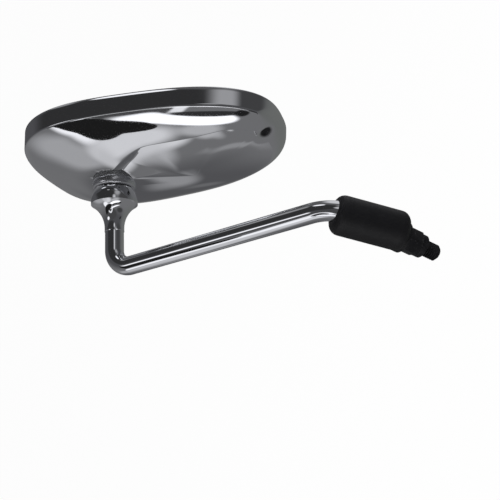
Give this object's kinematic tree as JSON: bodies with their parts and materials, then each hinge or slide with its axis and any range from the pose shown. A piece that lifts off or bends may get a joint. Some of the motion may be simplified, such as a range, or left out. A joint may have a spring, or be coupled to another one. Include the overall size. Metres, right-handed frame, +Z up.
{
  "type": "motorcycle mirror",
  "caption": "Chromed oval handlebar mirror on a bent chromed stem with a friction ball knuckle, a rubber boot and an M10 mounting stud.",
  "frame": {"origin": "centre of the mounting stud's shoulder face, where it meets the perch on the handlebar", "axes": "+Z up along the stud, which points down; +X outboard, the way the stem leans; +Y forward, so the glass faces the rider, towards -Y"},
  "size_m": [0.1967, 0.1147, 0.2298],
  "materials": {
    "black_steel": "black zinc plate, lightly worn at the edges",
    "plain_steel": "bright zinc plate",
    "stem_chrome": "polished chrome plate",
    "boot_rubber": "matte black moulded rubber",
    "nylon": "natural nylon",
    "satin_alloy": "satin cast alloy",
    "shell_chrome": "polished chrome plate on a die-cast alloy shell",
    "black_plastic": "black moulded plastic",
    "foam": "closed-cell foam pad",
    "mirror_glass": "silvered convex glass",
    "gasket_rubber": "black rubber seal"
  },
  "bodies": {
    "base": {"threaded_adaptor": "black_steel"},
    "stem": {"stem_rod": "stem_chrome", "lock_nut": "black_steel", "lock_washer": "plain_steel", "rubber_boot": "boot_rubber", "ball_collar": "stem_chrome", "pivot_stud": "plain_steel", "pivot_nut": "plain_steel"},
    "core": {"pressure_cup": "plain_steel", "friction_spring": "plain_steel", "spring_plate": "plain_steel"},
    "liner": {"nylon_liner": "nylon"},
    "head": {"housing_shell": "shell_chrome", "joint_socket": "satin_alloy", "seat_ring": "satin_alloy", "socket_screws": "plain_steel", "glass_backing": "black_plastic", "foam_pad": "foam", "mirror_glass": "mirror_glass", "glass_gasket": "gasket_rubber"}
  },
  "joints": [
    {"name": "stem_swivel", "type": "hinge", "parent": "base", "child": "stem", "pos_m": [0, 0, 0], "axis": [0, 0, 1], "continuous": true},
    {"name": "head_swivel", "type": "hinge", "parent": "stem", "child": "core", "pos_m": [0.12198, -0.04117, 0.15201], "axis": [-0.264, -0.917, 0.299], "continuous": true},
    {"name": "head_tilt", "type": "hinge", "parent": "core", "child": "liner", "pos_m": [0.12198, -0.04117, 0.15201], "axis": [-0.6216, -0.0753, -0.7797], "range_deg": [-6, 6]},
    {"name": "head_pan", "type": "hinge", "parent": "liner", "child": "head", "pos_m": [0.12198, -0.04117, 0.15201], "axis": [0.7375, -0.3918, -0.5501], "range_deg": [-6, 6]}
  ]
}
